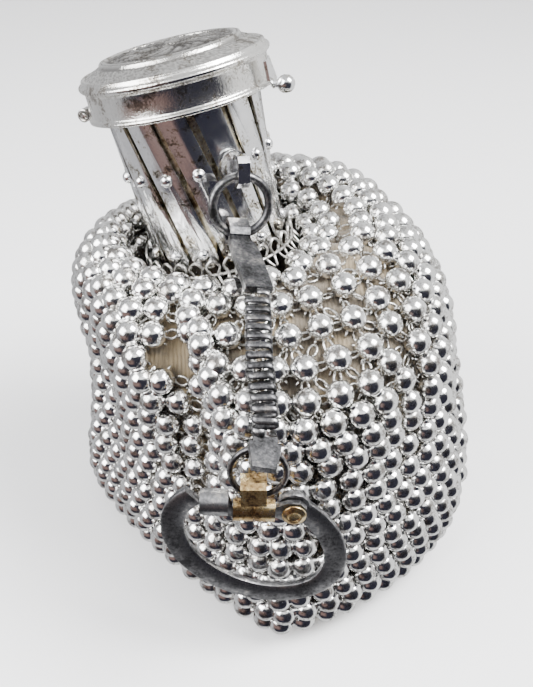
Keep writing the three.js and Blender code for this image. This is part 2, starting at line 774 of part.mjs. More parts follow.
function claspLever() {
  const half = lever.width / 2;
  const tip = lever.reach;
  const rise = -lever.curlRise;
  const shoulder = tip - lever.curlLength;
  const arm = plate(
    [[-pivot.head, 0.9], [-0.9, pivot.head], [1.2, pivot.head], [3, half], [tip - 0.4, half],
      [tip, 0.4 * half], [tip, rise], [shoulder, rise], [shoulder - 0.6, -half], [3, -half],
      [1.2, -pivot.head], [-0.9, -pivot.head], [-pivot.head, -0.9]].reverse(),
    lever.thick,
    [circlePoints(pivot.shank + clearance, 10)],
  );
  const middle = V(tip - lever.curlLength / 2, rise, lever.curl);
  const roll = barrel(lever.curl, lever.curlLength, 0, 14);
  const bore = barrel(lever.curl - lever.curlWall, lever.curlLength + 1, 0, 14);
  for (const g of [roll, bore]) g.translate(middle.x, middle.y, middle.z);
  return toGeometry(join(solid(arm), solid(roll)).subtract(solid(bore)));
}

function claspPivot() {
  const below = leverLayer + clasp.thick / 2 + clearance;
  const top = lever.thick + clearance;
  return lathe(
    [
      [0, top + 0.5], [0.9, top + 0.5], [1.2, top + pivot.headThick], [pivot.head, top + 0.3],
      [pivot.head, top], [pivot.shank, top], [pivot.shank, -below], [1.7, -below],
      [1.7, -below - 0.4], [0, -below - 0.4],
    ],
    16,
  );
}

// The sleeve: two barrels round the lever, and the eye that the jump ring holds.
function claspSleeve() {
  const middle = sleeve.from + sleeve.length / 2;
  const oval = (grow, length) => {
    const g = barrel(1, length, middle, 12);
    g.scale(1, sleeve.high + grow, sleeve.deep + grow);
    return solid(g);
  };
  const groove = oval(1, 0.3).subtract(oval(-0.25, 0.4));
  const slot = new THREE.BoxGeometry(
    sleeve.length + 2, lever.width + 2 * clearance, lever.thick + 2 * clearance,
  );
  slot.translate(middle, 0, 0);
  const eyeSlot = 2 * jumpRing.wire + 2 * clearance + sleeve.slack;
  const eyeDepth = 2 * jumpRing.wire + 2 * clearance + sleeve.eyeDeep;
  const eye = strapLoop(sleeve.eyeWidth, eyeSlot, eyeDepth, sleeve.eyeWall);
  const up = leverUp.clone();
  const across = V(0, 0, 1).cross(up).negate();
  const foot = V(middle, 0, 0).addScaledVector(up, sleeve.high - 0.3 + eyeSlot / 2 + sleeve.eyeWall);
  const place = placed(foot, across, up, V(0, 0, 1));
  return toGeometry(
    join(oval(0, sleeve.length).subtract(groove), solid(eye, place))
      .subtract(solid(slot))
      .translate([0, 0, lever.thick / 2]),
  );
}

// The upright direction seen in the lever's own frame
const leverUp = V(leverDirection.y, V(0, 0, 1).cross(leverDirection).y, 0).normalize();
const sleeveMiddle = V(sleeve.from + sleeve.length / 2, 0, lever.thick / 2).applyMatrix4(leverPlace);
const jumpFoot = sleeveMiddle.clone().add(
  V(jumpRing.aside, sleeve.high - 0.3 + sleeve.eyeWall + clearance + jumpRing.wire, 0),
);
const jumpPlace = new THREE.Matrix4()
  .makeRotationX(-radians(jumpRing.lean))
  .premultiply(new THREE.Matrix4().makeTranslation(jumpFoot))
  .multiply(new THREE.Matrix4().makeTranslation(0, jumpRing.radius, 0));

function lowerChainEnd() {
  const start = V(0, 0, 0).applyMatrix4(chainPlace(1));
  const ringTop = nearestOnRing(claspPlace.clone().multiply(jumpPlace), jumpRing.radius, start);
  const out = V(0, -1, 0);
  const slot = 2 * jumpRing.wire + 2 * clearance;
  const slotDepth = slot + 2 * clearance;
  const stand = (slotDepth + lowerEnd.thick) / 2;
  const foot = V(0, 0, stand).applyMatrix4(endPlace(start, ringTop, out, ringTop));
  const place = endPlace(start, foot, out, foot);
  const centre = ringTop.clone().applyMatrix4(place.clone().invert());
  const loop = strapLoop(lowerEnd.footWidth, slot + lowerEnd.slack, slotDepth, lowerEnd.loopWall);
  loop.translate(centre.x, centre.y - lowerEnd.slack / 4, centre.z);
  const reach = foot.distanceTo(start) - 4 * clearance;
  const [w, f] = [lowerEnd.width / 2, lowerEnd.footWidth / 2];
  const body = plate(
    [[-w, reach], [w, reach], [w * 0.95, 0.4 * reach], [f, -lowerEnd.over], [-f, -lowerEnd.over],
      [-w * 0.95, 0.4 * reach]],
    lowerEnd.thick,
  );
  body.translate(0, 0, -lowerEnd.thick / 2);
  return toGeometry(join(solid(loop, place), solid(body, place)));
}

// A wire round the inside of the pouch's mouth, for the links that hold the gate
function mouthRing() {
  const radius = mouthRadius - mouthWire.wire - clearance - 0.1;
  const ring = ringGeometry(radius, mouthWire.wire, 5, 32);
  ring.translate(0, 0, -gate.length - mouthWire.below);
  return ring;
}

// The assembly
const purse = new THREE.Group();

function add(parent, name, geometry, material) {
  const mesh = new THREE.Mesh(geometry, material);
  mesh.name = name;
  parent.add(mesh);
  return mesh;
}

function frameGroup(parent, matrix) {
  const group = new THREE.Group();
  matrix.decompose(group.position, group.quaternion, group.scale);
  parent.add(group);
  return group;
}

add(purse, "mesh_pouch", meshPouch(), beadSilver);
add(purse, "lining", clothLining(), cloth);

const gateGroup = frameGroup(purse, gateFrame);
for (let i = 0; i < gate.slats; i++) {
  const number = String(i + 1).padStart(2, "0");
  add(gateGroup, "outer_slat_" + number, outerSlat(i), silver);
  add(gateGroup, "inner_slat_" + number, toGeometry(slat(i, -1)), silver);
}
add(gateGroup, "lid", lidWithKnuckles(), silver);
add(gateGroup, "lid_thumb_knob", thumbKnob(), silver);
add(gateGroup, "lid_hinge_leaf", hingeLeaf(), silver);
add(gateGroup, "hanger_eye", hangerEye(), silver);
add(gateGroup, "mouth_ring", mouthRing(), silver);
const ringGroup = frameGroup(gateGroup, suspensionPlace);
const ring = ringGeometry(suspensionRing.radius, suspensionRing.wire, 6, 24);
add(ringGroup, "suspension_ring", ring, darkSilver);

add(purse, "upper_chain_end", upperChainEnd(), darkSilver);
add(purse, "coil_chain", coilChain(), darkSilver);
add(purse, "lower_chain_end", lowerChainEnd(), darkSilver);

const claspGroup = frameGroup(purse, claspPlace);
add(claspGroup, "finger_ring", fingerRing(), darkSilver);
const jumpGroup = frameGroup(claspGroup, jumpPlace);
add(jumpGroup, "lower_jump_ring", ringGeometry(jumpRing.radius, jumpRing.wire, 5, 20), darkSilver);
const leverGroup = frameGroup(claspGroup, leverPlace);
add(leverGroup, "clasp_lever", claspLever(), darkSilver);
add(leverGroup, "clasp_sleeve", claspSleeve(), brass);
add(leverGroup, "clasp_pivot", claspPivot(), brass);

export default purse;
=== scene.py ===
import math
import random

import bmesh
import bpy
import numpy as np
from mathutils import Matrix, Vector


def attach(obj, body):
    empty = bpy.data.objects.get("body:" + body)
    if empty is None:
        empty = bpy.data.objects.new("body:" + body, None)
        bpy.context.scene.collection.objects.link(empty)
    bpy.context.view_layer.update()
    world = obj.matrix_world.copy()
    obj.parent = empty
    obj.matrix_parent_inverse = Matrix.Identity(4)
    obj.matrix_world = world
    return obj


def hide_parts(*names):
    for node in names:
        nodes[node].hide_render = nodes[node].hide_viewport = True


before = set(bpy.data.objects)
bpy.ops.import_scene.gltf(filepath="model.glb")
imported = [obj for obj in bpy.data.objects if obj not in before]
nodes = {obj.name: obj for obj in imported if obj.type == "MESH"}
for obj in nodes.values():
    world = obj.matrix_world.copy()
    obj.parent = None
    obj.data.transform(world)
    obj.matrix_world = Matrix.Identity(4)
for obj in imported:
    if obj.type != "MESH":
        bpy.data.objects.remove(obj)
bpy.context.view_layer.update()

# Everything below is worked out in millimetres, in the purse's own frame, and made in metres.
MM = 0.001
rng = random.Random(7)
noise_rng = np.random.default_rng(11)

# Camera: the photograph's place and angle.
FOCAL_PX, LONG_SIDE_PX, SENSOR_MM = 850, 687, 36
camera_data = bpy.data.cameras.new("camera")
camera_data.sensor_width = SENSOR_MM
camera_data.lens = FOCAL_PX * SENSOR_MM / LONG_SIDE_PX
camera_data.clip_start, camera_data.clip_end = 0.01, 20
camera = bpy.data.objects.new("camera", camera_data)
camera.location = (-0.002, -0.146, 0.150)
camera.rotation_euler = (math.radians(55), 0, 0)
bpy.context.scene.collection.objects.link(camera)
bpy.context.scene.camera = camera

# The pouch: the same driving sizes and sections as its solid.
POUCH = {"height": 76, "left": 45, "right": 44, "front": 42, "back": 46.5, "sway": 5, "fold": 6}
CREST_LIFT = [(0, -1), (60, 2), (95, 1), (140, -5), (185, -4), (270, -5)]
FOOT_X, FOOT_Y = -11.9, 10.8
MOUTH_RADIUS = 16.35
COLUMNS = (
    "height", "drift", "tilt", "lift", "left", "right", "front", "back",
    "cornerLeft", "cornerRight", "sway",
)
SECTIONS = np.array([
    [0.845, 1, 1, 0, 0, 0, 0, 0, 2, 2, 0],
    [0.93, 0.85, 0.35, 0.3, 0.11, 0.09, 0.08, 0.08, 2, 2, 0],
    [0.985, 0.6, 0.08, 0.6, 0.33, 0.34, 0.2, 0.28, 2, 2, 0],
    [0.967, 0.35, 0, 0.85, 0.63, 0.53, 0.5, 0.62, 2, 2, 0.1],
    [0.885, 0.15, 0, 0.5, 0.8, 0.64, 0.78, 0.84, 1.85, 2, 0.2],
    [0.77, 0, 0, 0.2, 0.864, 0.71, 0.96, 0.93, 1.7, 1.85, 0.35],
    [0.6, 0, 0, 0, 0.836, 0.81, 1, 0.97, 1.55, 1.7, 0.5],
    [0.4, 0, 0, 0, 0.886, 0.93, 1, 1, 1.45, 1.6, 0.7],
    [0.2, 0, 0, 0, 0.98, 1, 1, 1, 1.35, 1.45, 1],
    [0.08, 0, 0, 0, 0.97, 0.95, 0.96, 0.94, 1.25, 1.4, 1],
    [0.02, 0, 0, 0, 0.85, 0.85, 0.85, 0.82, 1.25, 1.35, 1],
    [0, 0, 0, 0, 0.74, 0.74, 0.73, 0.7, 1.25, 1.35, 1],
])
LAST_SECTION = len(SECTIONS) - 1
FOLDS = [
    (240, 13, 1, 2.2, 7.2), (204, 15, 0.35, 3, 9), (316, 13, 0.3, 2.5, 7), (350, 12, 0.35, 3.5, 9.5),
    (28, 12, 0.45, 2.5, 8), (74, 13, 0.5, 2.5, 8.5), (122, 13, 0.55, 2.5, 9), (163, 11, 0.4, 3, 8),
]

# The gate: its lid's rim centre, its axis, and its slats.
GATE_TOP = Vector((-19.631, 15.429, 101.884))
GATE_AXIS = Vector((-0.21298, 0.12753, 0.96870)).normalized()
GATE_RADII = [(3.2, 14.95), (18.6, 13.9), (34.2, 13.3)]
SLATS, FIRST_AZIMUTH, SLAT_THICK = 14, 276.3, 0.5
LOW_RIVET, MID_RIVET = 34.2, 18.6

# Beads of the pouch.
BEAD_RADIUS, BEAD_RISE = 2.55, 2.5
ROW_STEP, UPPER_ROW_STEP, BEAD_STEP = 4.75, 5.5, 5.15


def section_at(t):
    """The section's values at t, a Catmull-Rom curve through the rows."""
    t = min(max(t, 0), LAST_SECTION)
    i = min(int(t), LAST_SECTION - 1)
    u = t - i
    p0, p1, p2, p3 = (SECTIONS[min(max(i + k, 0), LAST_SECTION)] for k in (-1, 0, 1, 2))
    value = 0.5 * (
        2 * p1 + (p2 - p0) * u + (2 * p0 - 5 * p1 + 4 * p2 - p3) * u * u
        + (3 * p1 - p0 - 3 * p2 + p3) * u ** 3
    )
    return dict(zip(COLUMNS, value))


def crest_lift(azimuth):
    azimuth %= 360
    rows = CREST_LIFT + [(CREST_LIFT[0][0] + 360, CREST_LIFT[0][1])]
    for (a, low), (b, high) in zip(rows, rows[1:]):
        if a <= azimuth <= b:
            return low + (high - low) * 0.5 * (1 - math.cos(math.pi * (azimuth - a) / (b - a)))
    return 0


def fold_depth(azimuth, t):
    depth = 0
    for middle, spread, share, start, end in FOLDS:
        off = abs((azimuth - middle + 540) % 360 - 180) / spread
        along = (t - start) / (end - start)
        if off < 1 and 0 < along < 1:
            depth += share * math.cos(off * math.pi / 2) ** 2 * math.sin(along * math.pi)
    return depth * POUCH["fold"]


def pouch_point(azimuth, t):
    """A point of the pouch's outer form, in millimetres."""
    s = section_at(t)
    a = math.radians(azimuth)
    c, q = math.cos(a), math.sin(a)
    side = "left" if c < 0 else "right"
    end = "front" if q < 0 else "back"
    half_x = MOUTH_RADIUS + s[side] * (POUCH[side] - MOUTH_RADIUS)
    half_y = MOUTH_RADIUS + s[end] * (POUCH[end] - MOUTH_RADIUS)
    corner = (s["cornerLeft"] if c < 0 else s["cornerRight"]) if q < 0 else 2
    power = 2 / corner
    dx = half_x * math.copysign(abs(c) ** power, c)
    dy = half_y * math.copysign(abs(q) ** power, q)
    pull = 1 - fold_depth(azimuth % 360, t) / math.hypot(dx, dy)
    dx, dy = dx * pull, dy * pull
    slope = -(GATE_AXIS.x * dx + GATE_AXIS.y * dy) / GATE_AXIS.z
    return Vector((
        s["drift"] * FOOT_X + dx,
        s["drift"] * FOOT_Y + dy - s["sway"] * POUCH["sway"] * dx / half_x,
        s["height"] * POUCH["height"] + s["tilt"] * slope + s["lift"] * crest_lift(azimuth),
    ))


def pouch_frame(azimuth, t):
    """Point, outward normal and downward direction there."""
    p = pouch_point(azimuth, t)
    around = pouch_point(azimuth + 0.8, t) - pouch_point(azimuth - 0.8, t)
    low, high = min(t + 0.05, LAST_SECTION), max(t - 0.05, 0)
    down = pouch_point(azimuth, low) - pouch_point(azimuth, high)
    return p, around.cross(-down).normalized(), down.normalized()


# The gate's frame turns +Z onto the gate's axis.
GATE_FRAME = (
    Matrix.Translation(GATE_TOP)
    @ Vector((0, 0, 1)).rotation_difference(GATE_AXIS).to_matrix().to_4x4()
)


def gate_radius(below):
    (a, ra), (b, rb), (c, rc) = GATE_RADII
    if below < b:
        return ra + (rb - ra) * (below - a) / (b - a)
    return rb + (rc - rb) * (below - b) / (c - b)


def on_gate(azimuth, below, out=0):
    r = gate_radius(below) + out
    a = math.radians(azimuth)
    return GATE_FRAME @ Vector((r * math.cos(a), r * math.sin(a), -below))


def slat_azimuth(index, side, below):
    pitch = 360 / SLATS
    half = LOW_RIVET - MID_RIVET
    return FIRST_AZIMUTH + index * pitch + side * 0.5 * pitch * (below - MID_RIVET) / half


# Mesh making
def make(name, verts, faces, material):
    """A mesh object from millimetre points."""
    mesh = bpy.data.meshes.new(name)
    mesh.from_pydata([tuple(c * MM for c in v) for v in verts], [], faces)
    mesh.materials.append(material)
    mesh.polygons.foreach_set("use_smooth", [True] * len(mesh.polygons))
    mesh.update()
    piece = bpy.data.objects.new(name, mesh)
    bpy.context.scene.collection.objects.link(piece)
    return piece


def make_many(name, verts, faces, places, material):
    """One mesh of many copies of a small form. places are 4x4 matrices in millimetres."""
    form = np.c_[np.array(verts, float), np.ones(len(verts))]
    matrices = np.array([[list(row) for row in m] for m in places])
    points = np.einsum("nij,vj->nvi", matrices, form)[:, :, :3].reshape(-1, 3) * MM
    sizes = [len(f) for f in faces]
    flat = np.array([i for f in faces for i in f])
    count, per = len(places), len(verts)
    loops = (flat[None, :] + (np.arange(count) * per)[:, None]).ravel()
    mesh = bpy.data.meshes.new(name)
    mesh.vertices.add(len(points))
    mesh.vertices.foreach_set("co", points.ravel())
    mesh.loops.add(len(loops))
    mesh.loops.foreach_set("vertex_index", loops)
    starts = np.cumsum([0] + sizes * count)[:-1]
    mesh.polygons.add(len(starts))
    mesh.polygons.foreach_set("loop_start", starts)
    mesh.materials.append(material)
    mesh.update(calc_edges=True)
    mesh.validate()
    mesh.polygons.foreach_set("use_smooth", [True] * len(mesh.polygons))
    piece = bpy.data.objects.new(name, mesh)
    bpy.context.scene.collection.objects.link(piece)
    return piece


def lathe(profile, sides):
    """Verts and faces of a closed form turned round Z. The profile's ends lie on the axis."""
    verts, faces = [], []
    ring = []
    for r, z in profile:
        if r < 1e-6:
            ring.append([len(verts)])
            verts.append((0, 0, z))
        else:
            ring.append(range(len(verts), len(verts) + sides))
            for i in range(sides):
                a = 2 * math.pi * i / sides
                verts.append((r * math.cos(a), r * math.sin(a), z))
    for a, b in zip(ring, ring[1:]):
        for i in range(sides):
            j = (i + 1) % sides
            if len(a) == 1:
                faces.append((a[0], b[i], b[j]))
            elif len(b) == 1:
                faces.append((a[i], b[0], a[j]))
            else:
                faces.append((a[i], b[i], b[j], a[j]))
    return verts, faces


def tube(points, radius, sides=8, closed=False):
    """Verts and faces of a round wire along points."""
    points = [Vector(p) for p in points]
    count = len(points)
    verts, faces = [], []
    tangent = (points[1] - points[0]).normalized()
    side = tangent.orthogonal().normalized()
    for i, p in enumerate(points):
        before = points[(i - 1) % count] if closed or i else p
        after = points[(i + 1) % count] if closed or i < count - 1 else p
        tangent = (after - before).normalized()
        side = (side - tangent * side.dot(tangent)).normalized()
        up = tangent.cross(side)
        for k in range(sides):
            a = 2 * math.pi * k / sides
            verts.append(p + radius * (math.cos(a) * side + math.sin(a) * up))
    for i in range(count if closed else count - 1):
        for k in range(sides):
            a, b = i * sides, ((i + 1) % count) * sides
            j = (k + 1) % sides
            faces.append((a + k, a + j, b + j, b + k))
    if not closed:
        faces.append(tuple(range(sides))[::-1])
        faces.append(tuple(range((count - 1) * sides, count * sides)))
    return verts, faces


def curve_points(points, steps):
    """A smooth line of steps points through the given ones."""
    points = [Vector(p) for p in points]
    out = []
    for n in range(steps + 1):
        f = n / steps * (len(points) - 1)
        i = min(int(f), len(points) - 2)
        u = f - i
        p = [points[min(max(i + k, 0), len(points) - 1)] for k in (-1, 0, 1, 2)]
        out.append(0.5 * (
            2 * p[1] + (p[2] - p[0]) * u + (2 * p[0] - 5 * p[1] + 4 * p[2] - p[3]) * u * u
            + (3 * p[1] - p[0] - 3 * p[2] + p[3]) * u ** 3
        ))
    return out


def gather(parts):
    """Joins several (verts, faces) into one."""
    verts, faces = [], []
    for v, f in parts:
        start = len(verts)
        verts += list(v)
        faces += [tuple(i + start for i in face) for face in f]
    return verts, faces


def moved(form, matrix):
    return [matrix @ Vector(v) for v in form[0]], form[1]


def place_at(origin, normal, down):
    """A matrix whose Z is the normal and whose Y is up the pouch."""
    z = normal.normalized()
    y = (-down + z * down.dot(z)).normalized()
    x = y.cross(z)
    m = Matrix((x, y, z)).transposed().to_4x4()
    m.translation = origin
    return m


# Materials
def material(name):
    made = bpy.data.materials.new(name)
    made.use_nodes = True
    tree = made.node_tree
    shader = tree.nodes["Principled BSDF"]
    coordinates = tree.nodes.new("ShaderNodeTexCoord")
    return made, tree, shader, coordinates.outputs["Object"]


def noise(tree, where, scale, detail=4, rough=0.6):
    node = tree.nodes.new("ShaderNodeTexNoise")
    node.inputs["Scale"].default_value = scale
    node.inputs["Detail"].default_value = detail
    node.inputs["Roughness"].default_value = rough
    tree.links.new(where, node.inputs["Vector"])
    return node.outputs["Fac"]


def ramp(tree, factor, stops):
    node = tree.nodes.new("ShaderNodeValToRGB")
    elements = node.color_ramp.elements
    elements[0].position, elements[0].color = stops[0][0], (*stops[0][1], 1)
    elements[1].position, elements[1].color = stops[-1][0], (*stops[-1][1], 1)
    for at, colour in stops[1:-1]:
        elements.new(at).color = (*colour, 1)
    tree.links.new(factor, node.inputs["Fac"])
    return node.outputs["Color"]


def spread(tree, factor, low, high, to_low, to_high):
    node = tree.nodes.new("ShaderNodeMapRange")
    for name, value in zip(("From Min", "From Max", "To Min", "To Max"), (low, high, to_low, to_high)):
        node.inputs[name].default_value = value
    tree.links.new(factor, node.inputs["Value"])
    return node.outputs["Result"]


def metal(name, stops, rough, patch=260, grain=1900, bump=0.25, depth=0.00012):
    """Worn metal: patches of tarnish, fine pitting, and roughness that follows both."""
    made, tree, shader, where = material(name)
    shader.inputs["Metallic"].default_value = 1
    patches = noise(tree, where, patch, 5, 0.65)
    pits = noise(tree, where, grain, 3, 0.7)
    both = tree.nodes.new("ShaderNodeMath")
    both.operation = "MULTIPLY_ADD"
    both.inputs[1].default_value = 0.45
    tree.links.new(pits, both.inputs[0])
    tree.links.new(spread(tree, patches, 0.2, 0.8, 0, 0.55), both.inputs[2])
    tree.links.new(ramp(tree, both.outputs[0], stops), shader.inputs["Base Color"])
    tree.links.new(spread(tree, both.outputs[0], 0.25, 0.75, *rough), shader.inputs["Roughness"])
    bumps = tree.nodes.new("ShaderNodeBump")
    bumps.inputs["Strength"].default_value = bump
    bumps.inputs["Distance"].default_value = depth
    tree.links.new(both.outputs[0], bumps.inputs["Height"])
    tree.links.new(bumps.outputs["Normal"], shader.inputs["Normal"])
    return made


bead_silver = metal(
    "bead_silver",
    [
        (0.34, (0.26, 0.24, 0.22)), (0.43, (0.55, 0.54, 0.52)),
        (0.5, (0.85, 0.85, 0.84)), (0.62, (0.98, 0.98, 0.97)),
    ],
    (0.3, 0.05), patch=420, grain=2600, bump=0.3, depth=0.0001,
)
link_silver = metal(
    "link_silver",
    [(0.35, (0.12, 0.11, 0.1)), (0.48, (0.38, 0.37, 0.35)), (0.62, (0.75, 0.74, 0.71))],
    (0.4, 0.2), patch=500, grain=3000,
)
slat_silver = metal(
    "slat_silver",
    [
        (0.36, (0.10, 0.09, 0.08)), (0.41, (0.5, 0.46, 0.38)),
        (0.46, (0.86, 0.86, 0.87)), (0.7, (0.97, 0.97, 0.98)),
    ],
    (0.3, 0.07), patch=230, grain=2100, bump=0.18,
)
inner_silver = metal(
    "inner_slat_silver",
    [(0.36, (0.14, 0.1, 0.05)), (0.47, (0.58, 0.5, 0.33)), (0.6, (0.85, 0.8, 0.66))],
    (0.42, 0.2), patch=230, grain=2100,
)
lid_silver = metal(
    "lid_silver",
    [
        (0.35, (0.16, 0.14, 0.12)), (0.42, (0.5, 0.47, 0.42)),
        (0.48, (0.86, 0.85, 0.82)), (0.7, (0.96, 0.95, 0.92)),
    ],
    (0.3, 0.08), patch=200, grain=2000, bump=0.55, depth=0.0002,
)
dark_silver = metal(
    "dark_silver",
    [
        (0.34, (0.03, 0.03, 0.03)), (0.48, (0.1, 0.1, 0.105)),
        (0.56, (0.17, 0.17, 0.175)), (0.68, (0.4, 0.38, 0.36)),
    ],
    (0.48, 0.24), patch=300, grain=1700, bump=0.35,
)
ring_silver = metal(
    "ring_silver",
    [
        (0.34, (0.06, 0.06, 0.065)), (0.48, (0.2, 0.2, 0.205)),
        (0.57, (0.3, 0.3, 0.31)), (0.68, (0.6, 0.58, 0.55)),
    ],
    (0.5, 0.22), patch=240, grain=1500, bump=0.35,
)
brass = metal(
    "brass",
    [
        (0.36, (0.12, 0.07, 0.04)), (0.46, (0.5, 0.33, 0.15)),
        (0.55, (0.72, 0.54, 0.27)), (0.68, (0.9, 0.78, 0.5)),
    ],
    (0.4, 0.18), patch=320, grain=1900,
)


def tarnished(made):
    """Darkens a metal where its mesh says that it is tarnished, as in the hollows of relief."""
    tree = made.node_tree
    shader = tree.nodes["Principled BSDF"]
    stain = tree.nodes.new("ShaderNodeAttribute")
    stain.attribute_name = "tarnish"
    mix = tree.nodes.new("ShaderNodeMix")
    mix.data_type = "RGBA"
    tree.links.new(stain.outputs["Fac"], mix.inputs["Factor"])
    tree.links.new(shader.inputs["Base Color"].links[0].from_socket, mix.inputs[6])
    mix.inputs[7].default_value = (0.09, 0.08, 0.07, 1)
    tree.links.new(mix.outputs[2], shader.inputs["Base Color"])


tarnished(lid_silver)


def ribbed_cloth(name):
    """Ribbed lining cloth: fine ribs down the bag, worn paler and browner in patches."""
    made, tree, shader, where = material(name)
    patches = noise(tree, where, 90, 4, 0.6)
    threads = noise(tree, where, 2600, 3, 0.6)
    stops = [(0.3, (0.07, 0.055, 0.04)), (0.5, (0.17, 0.14, 0.1)), (0.68, (0.33, 0.25, 0.14))]
    tree.links.new(ramp(tree, patches, stops), shader.inputs["Base Color"])
    shader.inputs["Roughness"].default_value = 0.85
    shader.inputs["Sheen Weight"].default_value = 0.3
    ribs = tree.nodes.new("ShaderNodeTexWave")
    ribs.bands_direction = "X"
    ribs.inputs["Scale"].default_value = 420
    ribs.inputs["Distortion"].default_value = 3
    tree.links.new(where, ribs.inputs["Vector"])
    height = tree.nodes.new("ShaderNodeMath")
    height.operation = "ADD"
    tree.links.new(ribs.outputs["Fac"], height.inputs[0])
    tree.links.new(threads, height.inputs[1])
    bumps = tree.nodes.new("ShaderNodeBump")
    bumps.inputs["Strength"].default_value = 0.6
    bumps.inputs["Distance"].default_value = 0.0003
    tree.links.new(height.outputs[0], bumps.inputs["Height"])
    tree.links.new(bumps.outputs["Normal"], shader.inputs["Normal"])
    return made


lining_cloth = ribbed_cloth("lining_cloth")


def finished(name, sources, body, made, bevel, soft_angle=40, levels=0):
    """A piece with the shape of carried nodes, smooth shaded, with its hard edges rounded."""
    shape = bmesh.new()
    for source in sources:
        shape.from_mesh(nodes[source].data)
    bmesh.ops.remove_doubles(shape, verts=shape.verts, dist=1e-6)
    mesh = bpy.data.meshes.new(name)
    shape.to_mesh(mesh)
    shape.free()
    mesh.materials.clear()
    mesh.materials.append(made)
    mesh.polygons.foreach_set("material_index", [0] * len(mesh.polygons))
    mesh.polygons.foreach_set("use_smooth", [True] * len(mesh.polygons))
    mesh.set_sharp_from_angle(angle=math.radians(soft_angle))
    piece = bpy.data.objects.new(name, mesh)
    bpy.context.scene.collection.objects.link(piece)
    rounding = piece.modifiers.new("rounding", "BEVEL")
    rounding.width = bevel * MM
    rounding.segments = 3
    rounding.limit_method = "ANGLE"
    rounding.angle_limit = math.radians(soft_angle)
    rounding.harden_normals = not levels
    if levels:
        smoothing = piece.modifiers.new("smoothing", "SUBSURF")
        smoothing.levels = smoothing.render_levels = levels
    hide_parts(*sources)
    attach(piece, body)
    return piece


# Beads: hollow domes with a rolled edge and a hollow back.
def bead_form():
    steps, end = 8, math.radians(122)
    dome = [
        (BEAD_RADIUS * math.sin(i * end / steps), BEAD_RISE * math.cos(i * end / steps))
        for i in range(steps + 1)
    ]
    low = dome[-1][1]
    back = [(0.72 * BEAD_RADIUS, low - 0.15), (0.5 * BEAD_RADIUS, low + 0.25), (0, low + 0.3)]
    verts, faces = lathe(dome + back, 16)
    return verts, [f[::-1] for f in faces]


def prong_forms():
    """Four bent prongs under a bead's edge, reaching for its links."""
    parts = []
    for turn in (45, 135, 225, 315):
        line = [(1.7, 0, -1.2), (2.3, 0, -1.5), (2.75, 0, -1.75), (2.5, 0, -2.2)]
        form = tube(line, 0.3, 4)
        parts.append(moved(form, Matrix.Rotation(math.radians(turn), 4, "Z")))
    return gather(parts)


def link_form():
    """A flat oblong ring between two beads."""
    points = []
    for i in range(12):
        a = 2 * math.pi * i / 12
        points.append((1.35 * math.cos(a), 0.8 * math.sin(a), 0))
    return tube(points, 0.27, 5, closed=True)


def arc_rows():
    """Rows down the pouch at equal steps along its front and side."""
    samples = 240
    length = [0.0]
    for i in range(samples):
        a, b = i / samples * 9.6, (i + 1) / samples * 9.6
        step = sum((pouch_point(z, b) - pouch_point(z, a)).length for z in (0, 90, 180, 270, 315)) / 5
        upper = min(max((5.8 - a) / 1.2, 0), 1)
        length.append(length[-1] + step / (ROW_STEP + upper * (UPPER_ROW_STEP - ROW_STEP)))
    rows = int(length[-1])
    return [
        float(np.interp((r + 0.35) * length[-1] / rows, length, np.linspace(0, 9.6, samples + 1)))
        for r in range(rows)
    ]


def density(azimuth, t):
    """The mesh is stretched open at the front's upper right, and slack elsewhere."""
    off = min(abs((azimuth - 312 + 540) % 360 - 180) / 48, 1)
    upper = min(max((6.2 - t) / 1.6, 0), 1)
    return 1 - 0.3 * upper * math.cos(off * math.pi / 2) ** 2


def even_azimuths(t, count, shift):
    """Azimuths at equal steps of length round the section, starting opposite the camera."""
    samples = 144
    angles = [90 + 360 * i / samples for i in range(samples + 1)]
    points = [pouch_point(a, t) for a in angles]
    length = [0.0]
    for a, b, angle in zip(points, points[1:], angles):
        length.append(length[-1] + (b - a).length * density(angle, t))
    return [
        float(np.interp(((k + shift) / count) % 1 * length[-1], length, angles)) % 360
        for k in range(count)
    ], length[-1]


def torn(azimuth, t):
    """The worn strip beside the deep front fold, where beads are missing."""
    return 232 < azimuth < 239 and 3.4 < t < 5.2


bead_rows = []
for row, t in enumerate(arc_rows()):
    _, around = even_azimuths(t, 8, 0)
    count = max(18, int(round(around / BEAD_STEP)))
    azimuths, _ = even_azimuths(t, count, 0.5 * (row % 2))
    beads = []
    for azimuth in azimuths:
        here = azimuth + rng.uniform(-0.5, 0.5)
        depth_t = t + rng.uniform(-0.04, 0.04)
        lost = torn(azimuth, t) and rng.random() < 0.3
        p, n, down = pouch_frame(here, depth_t)
        wobble = Vector((rng.uniform(-1, 1), rng.uniform(-1, 1), rng.uniform(-1, 1))) * 0.13
        centre = p - n * (BEAD_RISE + 0.12)
        n = (n + wobble).normalized()
        beads.append((here, centre, place_at(centre, n, down), lost))
    bead_rows.append(beads)

base_places = []
base_outline = [pouch_point(a, 10.6) for a in range(0, 360, 5)]
for i in range(-9, 10):
    for j in range(-10, 11):
        x, y = (i + 0.5 * (j % 2)) * 5.2, j * 4.6
        a = math.atan2(y, x)
        edge = base_outline[int(math.degrees(a) % 360 / 5)]
        if math.hypot(x, y) < math.hypot(edge.x, edge.y) - 4.5:
            base_places.append(place_at(Vector((x, y, 2.5)), Vector((0, 0, -1)), Vector((0, -1, 0))))

